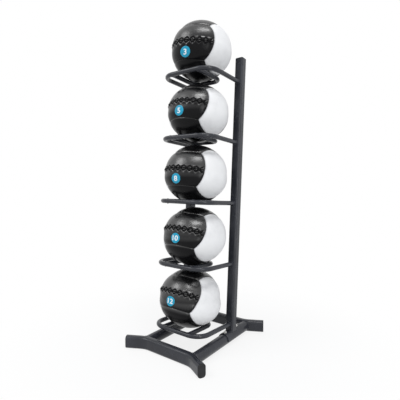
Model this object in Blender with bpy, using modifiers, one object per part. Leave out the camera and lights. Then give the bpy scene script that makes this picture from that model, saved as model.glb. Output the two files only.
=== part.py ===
"""Five-tier medicine ball rack with five soft wall balls, in metres, +Z up.

The base is a front and a rear foot of rounded rectangular tube, joined by two round side bars. Two square
posts stand on bolted saddles and lean back. Each tier is a bent tube hoop welded to the posts, with an inner
cradle that carries one ball. The origin is on the floor under the middle of the base, +X is to the right and
+Y to the back.
"""

import math

import bmesh
import bpy
from mathutils import Matrix, Vector

# Clearances
SEAT_GAP = 0.0003  # between pieces that touch on the real rack
PLUG_CLEARANCE = 0.0003  # round a plug in its tube, each side
BOLT_CLEARANCE = 0.0003  # round a bolt in its hole

# Base
FOOT_SPACING = 0.534  # between the middles of the front and the rear foot
FOOT_HEIGHT = 0.068
FOOT_DEPTH = 0.042
FOOT_CORNER_RADIUS = 0.016
FOOT_STRAIGHT = 0.257  # straight stretch in the middle of a foot
SWEEP_RADIUS = 0.130  # bend that turns each end of a foot outwards
SWEEP_ANGLE = math.radians(28)
SWEPT_END = 0.078  # straight stretch after the bend
FOOT_WALL = 0.0025
BAR_DIAMETER = 0.060
BAR_WALL = 0.002

# Uprights
POST_SPACING = 0.331  # between the middles of the two posts
POST_SIDE = 0.050
POST_CORNER_RADIUS = 0.011
POST_WALL = 0.002
POST_ABOVE_TOP_TIER = 0.1335  # top of the tube above the middle of the top tier
POST_FROM_REAR_FOOT = 0.175  # middle of the post's foot to the middle of the rear foot
LEAN = math.radians(3.5)  # the posts lean back, and the tiers tilt with them

# Saddles that carry the posts on the side bars
SADDLE_THICKNESS = 0.005
SADDLE_FRONT = 0.075  # reach in front of the post's middle
SADDLE_REAR = 0.100  # reach behind it
SADDLE_WRAP = math.radians(200)
BOLT_OFFSET = 0.058  # bolts in front of and behind the post's middle
BOLT_DIAMETER = 0.010
BOLT_LENGTH = 0.022
BOLT_HEAD_WIDTH = 0.017  # across the hexagon's corners
BOLT_HEAD_HEIGHT = 0.0065
WASHER_DIAMETER = 0.022
WASHER_THICKNESS = 0.002

# End caps
CAP_THICKNESS = 0.004
CAP_EDGE_RADIUS = 0.0015
POST_CAP_THICKNESS = 0.006
POST_CAP_EDGE_RADIUS = 0.0028
PLUG_LENGTH = 0.014

# Tiers
TIERS = 5
TIER_PITCH = 0.350  # between two tiers, along the post
LOWEST_TIER = 0.1025  # tube middle above the floor, along the post
TIER_TUBE_DIAMETER = 0.025
TIER_TUBE_WALL = 0.002
HOOP_REACH = 0.308  # post middle to the middle of the front run
HOOP_BEND_RADIUS = 0.080
CRADLE_HALF_WIDTH = 0.088  # rail middle from the centre line
CRADLE_REAR = 0.084  # middle of the rear run, in front of the posts' middle
CRADLE_BEND_RADIUS = 0.050

# Balls
BALL_RADIUS = 0.173
BALL_CROWNS = [0.86, 0.86, 0.92, 0.91, 0.88]  # each settled top half's height over the radius, top ball first
COVER_THICKNESS = 0.003
SEAM_GAP = 0.0003
BALL_TURNS = [  # each front panel's turn to the right, tilt upwards and spin in degrees, top ball first
    (4.4, -0.6, 6.0),
    (-0.6, 12.3, 2.4),
    (-2.2, 8.5, 1.2),
    (-0.5, 20.4, 0.9),
    (-0.5, 24.3, -0.1),
]
FILLING_GAP = 0.0004
LACE_DIAMETER = 0.005
LACE_GAP = 0.0001  # between the lace and the cover's corners: the flat faces between them lie lower
LACE_STITCHES = 9
LACE_HALF_ANGLE = math.radians(50.4)  # half the laced slit, seen from the ball's middle
LACE_HALF_HEIGHT = 0.015
LACE_LEG_STEPS = 2

# Fineness of round shapes
TUBE_SIDES = 10
BEND_STEP = math.radians(22.5)  # widest turn between two points of a bend
BAR_SIDES = 20
BAR_STEP = 2 * math.pi / BAR_SIDES
CORNER_STEPS = 3
EDGE_STEPS = 1
BALL_SEGMENTS = 24
BALL_RINGS = 12
FILLING_SEGMENTS = BALL_SEGMENTS // 2  # every corner of the filling lies under one of the cover
FILLING_RINGS = BALL_RINGS // 2

POST_Y = FOOT_SPACING / 2 - POST_FROM_REAR_FOOT
BAR_HEIGHT = FOOT_HEIGHT / 2
SADDLE_INNER_RADIUS = BAR_DIAMETER / 2 + SEAT_GAP
SADDLE_OUTER_RADIUS = SADDLE_INNER_RADIUS + SADDLE_THICKNESS
POST_FRONT = -POST_SIDE / 2
POST_TOP = LOWEST_TIER + (TIERS - 1) * TIER_PITCH + POST_ABOVE_TOP_TIER
SEAM_PLANE = BALL_RADIUS / math.sqrt(3)  # from a ball's middle to the seams between its six equal panels
SIDES = {"left": -1, "right": 1}

POWDER_COAT = ("charcoal_powder_coat", (0.045, 0.045, 0.05), 0.3, 0.42)
CAP_PLASTIC = ("black_cap_plastic", (0.02, 0.02, 0.022), 0.0, 0.5)
ZINC_STEEL = ("zinc_plated_steel", (0.72, 0.72, 0.7), 0.9, 0.3)
BLACK_LEATHER = ("black_synthetic_leather", (0.03, 0.03, 0.032), 0.0, 0.45)
WHITE_LEATHER = ("white_synthetic_leather", (0.85, 0.85, 0.86), 0.0, 0.5)
FIBRE_FILLING = ("fibre_filling", (0.6, 0.58, 0.52), 0.0, 0.95)
LACE_CORD = ("black_lace", (0.015, 0.015, 0.016), 0.0, 0.8)


def clear_scene():
    for old in list(bpy.data.objects):
        bpy.data.objects.remove(old, do_unlink=True)


def new_collection(name):
    collection = bpy.data.collections.new(name)
    bpy.context.scene.collection.children.link(collection)
    return collection


def material(values):
    name, colour, metallic, roughness = values
    found = bpy.data.materials.get(name)
    if found:
        return found
    made = bpy.data.materials.new(name)
    made.use_nodes = True
    shader = made.node_tree.nodes["Principled BSDF"]
    shader.inputs["Base Color"].default_value = (*colour, 1.0)
    shader.inputs["Metallic"].default_value = metallic
    shader.inputs["Roughness"].default_value = roughness
    return made


def add_object(name, data, collection, parent=None, matrix=None):
    """An object placed by a matrix in its parent's space."""
    made = bpy.data.objects.new(name, data)
    collection.objects.link(made)
    if parent:
        made.parent = parent
    if matrix:
        made.matrix_basis = matrix
    return made


def add_empty(name, collection, parent=None, matrix=None):
    return add_object(name, None, collection, parent, matrix)


def finished_mesh(source):
    """The object's evaluated mesh with its loose caps welded. The object itself is removed."""
    bpy.context.view_layer.update()
    graph = bpy.context.evaluated_depsgraph_get()
    mesh = bpy.data.meshes.new_from_object(source.evaluated_get(graph))
    mesh.name = source.name
    bpy.data.objects.remove(source, do_unlink=True)
    work = bmesh.new()
    work.from_mesh(mesh)
    bmesh.ops.remove_doubles(work, verts=work.verts, dist=1e-6)
    work.to_mesh(mesh)
    work.free()
    return mesh


def smooth(mesh, angle=math.radians(40)):
    mesh.shade_smooth()
    mesh.set_sharp_from_angle(angle=angle)
    return mesh


def add_boolean(piece, cutter, operation):
    boolean = piece.modifiers.new(operation.lower(), "BOOLEAN")
    boolean.operation = operation
    boolean.object = cutter


def add_part(name, mesh, look, parent=None, matrix=None):
    if not mesh.materials:
        mesh.materials.append(material(look))
    return add_object(name, smooth(mesh), parts, parent, matrix)


def add_cutter(name, mesh, parent=None, matrix=None):
    cutter = add_object(name, mesh, cutters, parent, matrix)
    cutter.hide_render = True
    cutter.display_type = "WIRE"
    return cutter


def rounded_rectangle(width, height, radius):
    """Corner points of a rounded rectangle about the origin, anticlockwise."""
    points = []
    for quarter in range(4):
        corner = Vector((width / 2 - radius, height / 2 - radius))
        corner.x *= 1 if quarter in (0, 3) else -1
        corner.y *= 1 if quarter in (0, 1) else -1
        for step in range(CORNER_STEPS + 1):
            angle = math.radians(90) * (quarter + step / CORNER_STEPS)
            points.append(corner + radius * Vector((math.cos(angle), math.sin(angle))))
    return points


def poly_spline(curve, points, closed=False):
    spline = curve.splines.new("POLY")
    spline.points.add(len(points) - 1)
    for target, point in zip(spline.points, points):
        target.co = (*point, *([0.0] * (3 - len(point))), 1.0)
    spline.use_cyclic_u = closed


def outline_curve(name, outlines, thickness, edge_radius=0.0):
    """A flat 2D curve of closed outlines, extruded about its own plane. An outline in another is a hole."""
    curve = bpy.data.curves.new(name, "CURVE")
    curve.dimensions = "2D"
    curve.fill_mode = "BOTH"
    curve.extrude = thickness / 2 - edge_radius
    curve.bevel_depth = edge_radius
    curve.bevel_resolution = EDGE_STEPS
    curve.offset = -edge_radius
    for outline in outlines:
        poly_spline(curve, outline, closed=True)
    return curve


def clear_of(radius):
    """Corner radius of a bar's outline whose flat sides lie just outside a circle of this radius."""
    return radius / math.cos(BAR_STEP / 2)


def bar_mesh(name, radius, length, sides=BAR_SIDES):
    """A solid round bar along Y, centred on the origin."""
    work = bmesh.new()
    bmesh.ops.create_cone(
        work, cap_ends=True, segments=sides, radius1=radius, radius2=radius, depth=length,
        matrix=Matrix.Rotation(math.radians(90), 4, "X"),
    )
    mesh = bpy.data.meshes.new(name)
    work.to_mesh(mesh)
    work.free()
    return mesh


def box_mesh(name, low, high):
    """A box between two opposite corners."""
    low, high = Vector(low), Vector(high)
    work = bmesh.new()
    place = Matrix.Translation((low + high) / 2) @ Matrix.Diagonal((*(high - low), 1.0))
    bmesh.ops.create_cube(work, size=1.0, matrix=place)
    mesh = bpy.data.meshes.new(name)
    work.to_mesh(mesh)
    work.free()
    return mesh


def arc_points(centre, radius, start, end, widest_step=BEND_STEP):
    """Points of an arc in the XY plane, from one angle to another."""
    steps = math.ceil(abs(end - start) / widest_step - 1e-6)
    angles = [start + (end - start) * step / steps for step in range(steps + 1)]
    return [Vector((centre[0] + radius * math.cos(a), centre[1] + radius * math.sin(a), 0.0)) for a in angles]


def tube_curve(name, points, diameter):
    curve = bpy.data.curves.new(name, "CURVE")
    curve.dimensions = "3D"
    curve.bevel_depth = diameter / 2
    curve.bevel_resolution = TUBE_SIDES // 2 - 2
    poly_spline(curve, points)
    return curve


def hollow_tube_mesh(name, points, diameter, wall):
    """A round tube along the points, with open ends."""
    tube = add_object(name, tube_curve(name, points, diameter), cutters)
    solidify = tube.modifiers.new("wall", "SOLIDIFY")
    solidify.thickness = wall
    solidify.offset = -1.0
    return finished_mesh(tube)


def solid_rod_mesh(name, points, diameter):
    """A round rod along the points, with closed ends."""
    curve = tube_curve(name, points, diameter)
    curve.use_fill_caps = True
    return finished_mesh(add_object(name, curve, cutters))


# Base


def foot_path(outward):
    """Middle line of a foot in its own plane. outward is -1 for the front foot and 1 for the rear one."""
    half = FOOT_STRAIGHT / 2
    bend = arc_points((half, SWEEP_RADIUS), SWEEP_RADIUS, -math.pi / 2, -math.pi / 2 + SWEEP_ANGLE)
    along = Vector((math.cos(SWEEP_ANGLE), math.sin(SWEEP_ANGLE), 0.0))
    right = bend + [bend[-1] + along * SWEPT_END]
    left = [Vector((-point.x, point.y, 0.0)) for point in reversed(right)]
    return [Vector((point.x, point.y * outward, 0.0)) for point in left + right]


def foot_middle(outward):
    return Vector((0.0, outward * FOOT_SPACING / 2, FOOT_HEIGHT / 2))


def swept_foot(name, outward, growth, hollow):
    """A foot's tube, grown by a margin all round. It is hollow, or solid to cut other pieces with."""
    outline = rounded_rectangle(
        FOOT_DEPTH + 2 * growth, FOOT_HEIGHT + 2 * growth, FOOT_CORNER_RADIUS + growth
    )
    section = bpy.data.curves.new(name + "_section", "CURVE")
    section.dimensions = "2D"
    poly_spline(section, outline[::-1], closed=True)
    section_object = add_cutter(name + "_section", section)
    curve = bpy.data.curves.new(name, "CURVE")
    curve.dimensions = "3D"
    curve.twist_mode = "Z_UP"
    curve.bevel_mode = "OBJECT"
    curve.bevel_object = section_object
    curve.use_fill_caps = not hollow
    poly_spline(curve, foot_path(outward))
    foot = add_object(name, curve, cutters)
    if hollow:
        solidify = foot.modifiers.new("wall", "SOLIDIFY")
        solidify.thickness = FOOT_WALL
        solidify.offset = -1.0
        solidify.use_even_offset = True
    mesh = finished_mesh(foot)
    bpy.data.objects.remove(section_object, do_unlink=True)
    return mesh


def plug_cap_mesh(name, width, height, radius, wall, thickness, edge_radius):
    """An end cap: a flange as large as the tube, and a plug that fits its bore. It faces local +Z."""
    flange = add_object(
        name, outline_curve(name, [rounded_rectangle(width, height, radius)], thickness, edge_radius), cutters
    )
    shrink = wall + PLUG_CLEARANCE
    inner = rounded_rectangle(width - 2 * shrink, height - 2 * shrink, radius - shrink)
    depth = PLUG_LENGTH + thickness / 2
    plug = add_object(name + "_plug", outline_curve(name + "_plug", [inner], depth), cutters)
    flange_mesh, plug_mesh = finished_mesh(flange), finished_mesh(plug)
    flange_mesh.transform(Matrix.Translation((0.0, 0.0, thickness / 2)))
    plug_mesh.transform(Matrix.Translation((0.0, 0.0, thickness / 2 - depth / 2)))
    cap = add_object(name, flange_mesh, cutters)
    tool = add_cutter(name + "_tool", plug_mesh)
    add_boolean(cap, tool, "UNION")
    mesh = finished_mesh(cap)
    bpy.data.objects.remove(tool, do_unlink=True)
    return mesh


def add_foot(name, outward):
    mesh = swept_foot(name, outward, 0.0, hollow=True)
    place = Matrix.Translation(foot_middle(outward))
    add_part(name, mesh, POWDER_COAT, matrix=place)
    cap_mesh = plug_cap_mesh(
        name + "_cap", FOOT_DEPTH, FOOT_HEIGHT, FOOT_CORNER_RADIUS, FOOT_WALL, CAP_THICKNESS, CAP_EDGE_RADIUS
    )
    for side, sign in SIDES.items():
        tip = foot_path(outward)[0 if sign < 0 else -1]
        out = Vector((sign * math.cos(SWEEP_ANGLE), outward * math.sin(SWEEP_ANGLE), 0.0))
        up = Vector((0.0, 0.0, 1.0))
        turn = Matrix((up.cross(out), up, out)).transposed().to_4x4()
        seat = Matrix.Translation(foot_middle(outward) + tip + out * SEAT_GAP)
        add_part(f"{name}_cap_{side}", cap_mesh, CAP_PLASTIC, matrix=seat @ turn)


def bolt_places():
    """Y of each bolt on a side bar, by name."""
    return {"front": POST_Y - BOLT_OFFSET, "rear": POST_Y + BOLT_OFFSET}


def bolt_hole_cutters(x):
    """Upright cutters through the tops of a saddle and its side bar."""
    made = []
    for name, y in bolt_places().items():
        hole = bar_mesh(f"hole_{name}", BOLT_DIAMETER / 2 + BOLT_CLEARANCE, BAR_DIAMETER, sides=TUBE_SIDES)
        place = Matrix.Translation((x, y, BAR_HEIGHT + BAR_DIAMETER / 2))
        made.append(add_cutter(f"hole_{name}", hole, matrix=place @ Matrix.Rotation(math.pi / 2, 4, "X")))
    return made


def add_side_bar(side, sign, foot_tools):
    """A round tube from foot to foot, coped to their curved sides."""
    name = f"side_bar_{side}"
    x = sign * POST_SPACING / 2
    bar = add_part(name, bar_mesh(name, BAR_DIAMETER / 2, FOOT_SPACING), POWDER_COAT)
    bar.matrix_basis = Matrix.Translation((x, 0.0, BAR_HEIGHT))
    bore = bar_mesh(name + "_bore", BAR_DIAMETER / 2 - BAR_WALL, FOOT_SPACING + FOOT_DEPTH)
    tools = [add_cutter(name + "_bore", bore, matrix=bar.matrix_basis)]
    for tool in tools + foot_tools + bolt_hole_cutters(x):
        add_boolean(bar, tool, "DIFFERENCE")


# Uprights


def add_saddle(side, sign):
    """A shell bent over the side bar, with a bolt and washer in front of the post and behind it."""
    name = f"post_saddle_{side}"
    x = sign * POST_SPACING / 2
    start = math.pi / 2 - SADDLE_WRAP / 2
    end = start + SADDLE_WRAP
    outer = arc_points((0.0, 0.0), SADDLE_OUTER_RADIUS, start, end, BAR_STEP)
    inner = arc_points((0.0, 0.0), clear_of(SADDLE_INNER_RADIUS), end, start, BAR_STEP)
    length = SADDLE_FRONT + SADDLE_REAR
    curve = outline_curve(name, [[point.xy for point in outer + inner]], length)
    mesh = finished_mesh(add_object(name, curve, cutters))
    middle = POST_Y + (SADDLE_REAR - SADDLE_FRONT) / 2
    place = Matrix.Translation((x, middle, BAR_HEIGHT)) @ Matrix.Rotation(math.pi / 2, 4, "X")
    saddle = add_part(name, mesh, POWDER_COAT, matrix=place)
    for tool in bolt_hole_cutters(x):
        add_boolean(saddle, tool, "DIFFERENCE")
    for place_name, y in bolt_places().items():
        add_bolt(f"{side}_{place_name}", Vector((x, y, BAR_HEIGHT + SADDLE_OUTER_RADIUS)))


def add_bolt(name, seat):
    """A hexagon bolt and its washer, upright on the top line of a saddle."""
    washer_seat = seat + Vector((0.0, 0.0, SEAT_GAP))
    ring = [
        [Vector((radius * math.cos(a), radius * math.sin(a))) for a in
         (2 * math.pi * step / TUBE_SIDES for step in range(TUBE_SIDES))]
        for radius in (WASHER_DIAMETER / 2, BOLT_DIAMETER / 2 + BOLT_CLEARANCE)
    ]
    washer = finished_mesh(add_object("washer", outline_curve("washer", ring, WASHER_THICKNESS), cutters))
    middle = washer_seat + Vector((0.0, 0.0, WASHER_THICKNESS / 2))
    add_part(f"washer_{name}", washer, ZINC_STEEL, matrix=Matrix.Translation(middle))
    work = bmesh.new()
    under_head = washer_seat + Vector((0.0, 0.0, WASHER_THICKNESS + SEAT_GAP))
    head_middle = Matrix.Translation((0.0, 0.0, BOLT_HEAD_HEIGHT / 2))
    bmesh.ops.create_cone(
        work, cap_ends=True, segments=6, radius1=BOLT_HEAD_WIDTH / 2, radius2=BOLT_HEAD_WIDTH / 2,
        depth=BOLT_HEAD_HEIGHT, matrix=head_middle,
    )
    head = bpy.data.meshes.new("head")
    work.to_mesh(head)
    work.free()
    shank = bar_mesh("shank", BOLT_DIAMETER / 2, BOLT_LENGTH + BOLT_HEAD_HEIGHT / 2, sides=TUBE_SIDES)
    shank.transform(Matrix.Rotation(math.pi / 2, 4, "X"))
    shank.transform(Matrix.Translation((0.0, 0.0, BOLT_HEAD_HEIGHT / 4 - BOLT_LENGTH / 2)))
    bolt = add_part(f"bolt_{name}", head, ZINC_STEEL, matrix=Matrix.Translation(under_head))
    tool = add_cutter(f"shank_{name}", shank, matrix=Matrix.Translation(under_head))
    add_boolean(bolt, tool, "UNION")


def add_post(side, sign, uprights):
    """A square tube coped over its saddle, with a plugged top."""
    name = f"post_{side}"
    x = sign * POST_SPACING / 2
    bottom = BAR_HEIGHT
    bore = POST_SIDE - 2 * POST_WALL
    outlines = [
        rounded_rectangle(POST_SIDE, POST_SIDE, POST_CORNER_RADIUS),
        rounded_rectangle(bore, bore, POST_CORNER_RADIUS - POST_WALL),
    ]
    mesh = finished_mesh(add_object(name, outline_curve(name, outlines, POST_TOP - bottom), cutters))
    place = Matrix.Translation((x, 0.0, (POST_TOP + bottom) / 2))
    post = add_part(name, mesh, POWDER_COAT, uprights, place)
    cope = bar_mesh(name + "_cope", clear_of(SADDLE_OUTER_RADIUS + SEAT_GAP), FOOT_SPACING)
    cutter = add_cutter(name + "_cope", cope, matrix=Matrix.Translation((x, POST_Y, BAR_HEIGHT)))
    add_boolean(post, cutter, "DIFFERENCE")
    cap_mesh = plug_cap_mesh(
        name + "_cap", POST_SIDE, POST_SIDE, POST_CORNER_RADIUS, POST_WALL, POST_CAP_THICKNESS,
        POST_CAP_EDGE_RADIUS,
    )
    seat = Matrix.Translation((x, 0.0, POST_TOP + SEAT_GAP))
    add_part(f"post_cap_{side}", cap_mesh, CAP_PLASTIC, uprights, seat)


# Tiers


def tier_height(tier):
    """Height of a tier's tubes along the posts. Tier 1 is the top one."""
    return LOWEST_TIER + (TIERS - tier) * TIER_PITCH


def u_path(half_width, open_end, closed_end, radius):
    """A U of two arms along Y and a run along X, with round corners. It opens towards open_end."""
    turn = math.copysign(1.0, closed_end - open_end)
    corner = Vector((half_width - radius, closed_end - turn * radius))
    bend = arc_points(corner, radius, 0.0, turn * math.pi / 2)
    right = [Vector((half_width, open_end, 0.0))] + bend
    left = [Vector((-point.x, point.y, 0.0)) for point in reversed(right)]
    return right + left


def hoop_path():
    return u_path(POST_SPACING / 2, POST_FRONT - SEAT_GAP, -HOOP_REACH, HOOP_BEND_RADIUS)


def hoop_front(x):
    """Y of the hoop's middle line at x to the right of the centre line."""
    path = hoop_path()
    for outer, inner in zip(path, path[1:]):
        if inner.x <= x < outer.x:
            return outer.y + (inner.y - outer.y) * (outer.x - x) / (outer.x - inner.x)
    return path[0].y


def cradle_mesh():
    """The inner U, with its rails coped to the hoop."""
    path = u_path(CRADLE_HALF_WIDTH, hoop_front(CRADLE_HALF_WIDTH), -CRADLE_REAR, CRADLE_BEND_RADIUS)
    cradle = add_object(
        "tier_cradle", hollow_tube_mesh("tier_cradle", path, TIER_TUBE_DIAMETER, TIER_TUBE_WALL), cutters
    )
    rod = solid_rod_mesh("hoop_tool", hoop_path(), TIER_TUBE_DIAMETER + 2 * SEAT_GAP)
    tool = add_cutter("hoop_tool", rod)
    add_boolean(cradle, tool, "DIFFERENCE")
    mesh = finished_mesh(cradle)
    bpy.data.objects.remove(tool, do_unlink=True)
    return mesh


def add_tiers(uprights):
    hoop = hollow_tube_mesh("tier_hoop", hoop_path(), TIER_TUBE_DIAMETER, TIER_TUBE_WALL)
    cradle = cradle_mesh()
    for tier in range(1, TIERS + 1):
        place = Matrix.Translation((0.0, 0.0, tier_height(tier)))
        add_part(f"tier_{tier}_hoop", hoop, POWDER_COAT, uprights, place)
        add_part(f"tier_{tier}_cradle", cradle, POWDER_COAT, uprights, place)


# Balls


def ball_seat(tier):
    """Middle of a ball that rests on both rails and on the rear run of its cradle."""
    reach = BALL_RADIUS + SEAT_GAP + TIER_TUBE_DIAMETER / 2
    return Vector((
        0.0,
        -CRADLE_REAR - CRADLE_HALF_WIDTH,
        tier_height(tier) + math.sqrt(reach**2 - CRADLE_HALF_WIDTH**2),
    ))


def ball_turn(tier):
    """How a ball lies on its cradle: its front panel turned to the right, tilted upwards and spun."""
    right, upwards, spin = (math.radians(angle) for angle in BALL_TURNS[tier - 1])
    return Matrix.Rotation(right, 4, "Z") @ Matrix.Rotation(-upwards, 4, "X") @ Matrix.Rotation(spin, 4, "Y")


def settled(point, crown):
    """Where a point of a round ball lies once the ball has settled and its top half is flatter."""
    return Vector((point.x, point.y, point.z * crown if point.z > 0 else point.z))


def settled_ball_mesh(name, radius, top, segments, rings):
    """A ball with its poles at the left and the right, settled to a given height above its middle."""
    work = bmesh.new()
    turn = Matrix.Rotation(math.pi / 2, 4, "Y")
    bmesh.ops.create_uvsphere(work, u_segments=segments, v_segments=rings, radius=radius, matrix=turn)
    for vertex in work.verts:
        vertex.co = settled(vertex.co, top / radius)
    mesh = bpy.data.meshes.new(name)
    work.to_mesh(mesh)
    work.free()
    return mesh


def cover_shell(top):
    """The whole cover before it is cut into panels."""
    ball = settled_ball_mesh("cover_shell", BALL_RADIUS, top, BALL_SEGMENTS, BALL_RINGS)
    shell = add_object("cover_shell", ball, cutters)
    solidify = shell.modifiers.new("thickness", "SOLIDIFY")
    solidify.thickness = COVER_THICKNESS
    solidify.offset = -1.0
    return finished_mesh(shell)


def side_panel_box(sign, gap):
    """Opposite corners of the box that holds a side panel, smaller by a gap at its seams."""
    half, far = SEAM_PLANE - gap, 2 * BALL_RADIUS
    left, right = sorted((sign * (SEAM_PLANE + gap), sign * far))
    return (left, -half, -far), (right, half, far)


def lace_path():
    """A zigzag over the laced slit, which runs from side to side across the front panel."""
    points = []
    lift = BALL_RADIUS + LACE_GAP + LACE_DIAMETER / 2
    legs = 2 * LACE_STITCHES
    for step in range(legs * LACE_LEG_STEPS + 1):
        along = step / LACE_LEG_STEPS
        turn = LACE_HALF_ANGLE * (2 * along / legs - 1)
        rise = LACE_HALF_HEIGHT * (1 - 2 * abs(along % 2 - 1)) / lift
        points.append(lift * Vector((
            math.sin(turn) * math.cos(rise), -math.cos(turn) * math.cos(rise), math.sin(rise)
        )))
    return points


def add_ball(tier, uprights):
    """A soft wall ball: a black belt of four panels, two white side panels, a filling and a laced slit."""
    name = f"ball_{tier}"
    seat = add_empty(f"{name}_seat", parts, uprights, Matrix.Translation(ball_seat(tier)))
    turn = ball_turn(tier)
    crown = BALL_CROWNS[tier - 1]
    top = BALL_RADIUS * crown
    shell = cover_shell(top)
    cover = add_part(f"{name}_black_cover", shell.copy(), BLACK_LEATHER, seat)
    for side, sign in SIDES.items():
        open_box = box_mesh("open", *side_panel_box(sign, 0.0))
        keep_box = box_mesh("keep", *side_panel_box(sign, SEAM_GAP))
        opening = add_cutter(f"{name}_open_{side}", open_box, seat, turn)
        keep = add_cutter(f"{name}_keep_{side}", keep_box, seat, turn)
        add_boolean(cover, opening, "DIFFERENCE")
        panel = add_part(f"{name}_white_panel_{side}", shell.copy(), WHITE_LEATHER, seat)
        add_boolean(panel, keep, "INTERSECT")
    inset = COVER_THICKNESS + FILLING_GAP
    filling = settled_ball_mesh("filling", BALL_RADIUS - inset, top - inset, FILLING_SEGMENTS, FILLING_RINGS)
    add_part(f"{name}_filling", filling, FIBRE_FILLING, seat)
    lace = bpy.data.curves.new("lace", "CURVE")
    lace.dimensions = "3D"
    lace.bevel_depth = LACE_DIAMETER / 2
    lace.bevel_resolution = 0
    lace.use_fill_caps = True
    poly_spline(lace, [settled(turn @ point, crown) for point in lace_path()])
    lace.materials.append(material(LACE_CORD))
    add_object(f"{name}_lace", lace, parts, seat)


def add_base():
    foot_tools = []
    for name, outward in {"front_foot": -1, "rear_foot": 1}.items():
        add_foot(name, outward)
        tool_mesh = swept_foot(name + "_tool", outward, SEAT_GAP, hollow=False)
        place = Matrix.Translation(foot_middle(outward))
        foot_tools.append(add_cutter(name + "_tool", tool_mesh, matrix=place))
    for side, sign in SIDES.items():
        add_side_bar(side, sign, foot_tools)
        add_saddle(side, sign)


def add_uprights():
    """Posts, tiers and balls hang from one frame that leans back about the posts' feet."""
    place = Matrix.Translation((0.0, POST_Y, 0.0)) @ Matrix.Rotation(-LEAN, 4, "X")
    uprights = add_empty("uprights", parts, matrix=place)
    bpy.context.view_layer.update()
    for side, sign in SIDES.items():
        add_post(side, sign, uprights)
    add_tiers(uprights)
    for tier in range(1, TIERS + 1):
        add_ball(tier, uprights)


clear_scene()
parts = new_collection("medicine_ball_rack")
cutters = new_collection("cutters")
add_base()
add_uprights()
bpy.context.view_layer.update()
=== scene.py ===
"""Looks of a medicine ball rack with five soft balls. Metres, +Z up, +X to the right and +Y to the back.

The steel tubes are swept again with fine bends, and their joints get rippled weld beads. Each ball gets sewn
leather panels, a laced slit and a number label, and it settles on the rails of its cradle.
"""

import math

import bmesh
import bpy
import numpy as np
from mathutils import Matrix, Vector
from mathutils.bvhtree import BVHTree


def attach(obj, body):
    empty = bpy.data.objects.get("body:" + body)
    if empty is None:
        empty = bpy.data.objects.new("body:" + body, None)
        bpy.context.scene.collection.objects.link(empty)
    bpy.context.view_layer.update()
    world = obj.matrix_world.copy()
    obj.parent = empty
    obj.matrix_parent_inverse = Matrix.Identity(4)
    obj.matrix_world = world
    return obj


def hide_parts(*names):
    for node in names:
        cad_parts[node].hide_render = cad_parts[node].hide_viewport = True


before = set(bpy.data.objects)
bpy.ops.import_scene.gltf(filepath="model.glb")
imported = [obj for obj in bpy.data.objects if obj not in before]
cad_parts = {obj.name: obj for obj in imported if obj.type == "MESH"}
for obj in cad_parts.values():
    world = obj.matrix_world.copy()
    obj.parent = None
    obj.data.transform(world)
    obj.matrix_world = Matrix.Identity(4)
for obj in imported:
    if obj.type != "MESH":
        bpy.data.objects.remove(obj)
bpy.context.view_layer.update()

SIDES = {"left": -1, "right": 1}

# The photograph's view
PHOTO_SIZE = 400  # pixels each way
PHOTO_FOCAL_LENGTH = 349.74  # pixels
SENSOR_WIDTH = 36.0
CAMERA_PLACE = (1.2091, -1.6137, 0.9315)
CAMERA_TURN = math.radians(36.55)  # to the left of straight ahead
CAMERA_PITCH = math.radians(-3.15)

# Base
FOOT_SPACING = 0.534
FOOT_HEIGHT = 0.068
FOOT_DEPTH = 0.042
FOOT_CORNER_RADIUS = 0.016
FOOT_STRAIGHT = 0.257
SWEEP_RADIUS = 0.130
SWEEP_ANGLE = math.radians(28)
SWEPT_END = 0.078
BAR_RADIUS = 0.030
BAR_HEIGHT = FOOT_HEIGHT / 2
BAR_BEAD_RADIUS = 0.0030
SEAT_GAP = 0.0003  # between pieces that touch on the real rack

# Uprights
POST_SPACING = 0.331
POST_SIDE = 0.050
POST_CORNER_RADIUS = 0.011
POST_ABOVE_TOP_TIER = 0.1335
POST_Y = 0.092  # of the posts' feet
POST_EVEN_FROM = 0.09  # height along a post from which its rings are level
POST_OUTLINE_STEP = 0.0035
POST_BEAD_RADIUS = 0.0028
POST_BEAD_RISE = 0.4  # of its way off the metal, over a post's side
LEAN = math.radians(3.5)
UPRIGHTS = Matrix.Translation((0.0, POST_Y, 0.0)) @ Matrix.Rotation(-LEAN, 4, "X")
SADDLE_THICKNESS = 0.005
SADDLE_INNER_RADIUS = BAR_RADIUS + SEAT_GAP
SADDLE_OUTER_RADIUS = SADDLE_INNER_RADIUS + SADDLE_THICKNESS
SADDLE_FRONT = 0.075
SADDLE_REAR = 0.100
SADDLE_WRAP = math.radians(200)
SADDLE_EDGE_RADIUS = 0.0012
BOLT_OFFSET = 0.058
BOLT_HEAD_WIDTH = 0.017  # across its corners
BOLT_HEAD_HEIGHT = 0.0065
BOLT_HEAD_EDGE = 0.0004
BOLT_CHAMFER = math.radians(30)
BOLT_TOP_SHARE = 0.94  # the flat top's radius over the distance to a flat side
BOLT_DISH_SHARES = (0.60, 0.55)  # the same for the rim and the floor of the shallow dish in the top
BOLT_DISH_DEPTH = 0.0003
WASHER_RADIUS = 0.011
WASHER_BORE_RADIUS = 0.0053
WASHER_THICKNESS = 0.002
WASHER_EDGE = 0.0003

# Tiers
TIERS = 5
LOWEST_TIER = 0.1025
TIER_PITCH = 0.350
POST_TOP = LOWEST_TIER + (TIERS - 1) * TIER_PITCH + POST_ABOVE_TOP_TIER
TIER_TUBE_RADIUS = 0.0125
HOOP_REACH = 0.308
HOOP_BEND_RADIUS = 0.080
HOOP_SINK = 0.001  # how far a hoop's ends reach into the posts
CRADLE_HALF_WIDTH = 0.088
CRADLE_REAR = 0.084
CRADLE_BEND_RADIUS = 0.050
CRADLE_SHORTFALL = 0.004  # from a cradle's ends to the middle of its hoop's front run
TIER_BEAD_RADIUS = 0.0022

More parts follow.
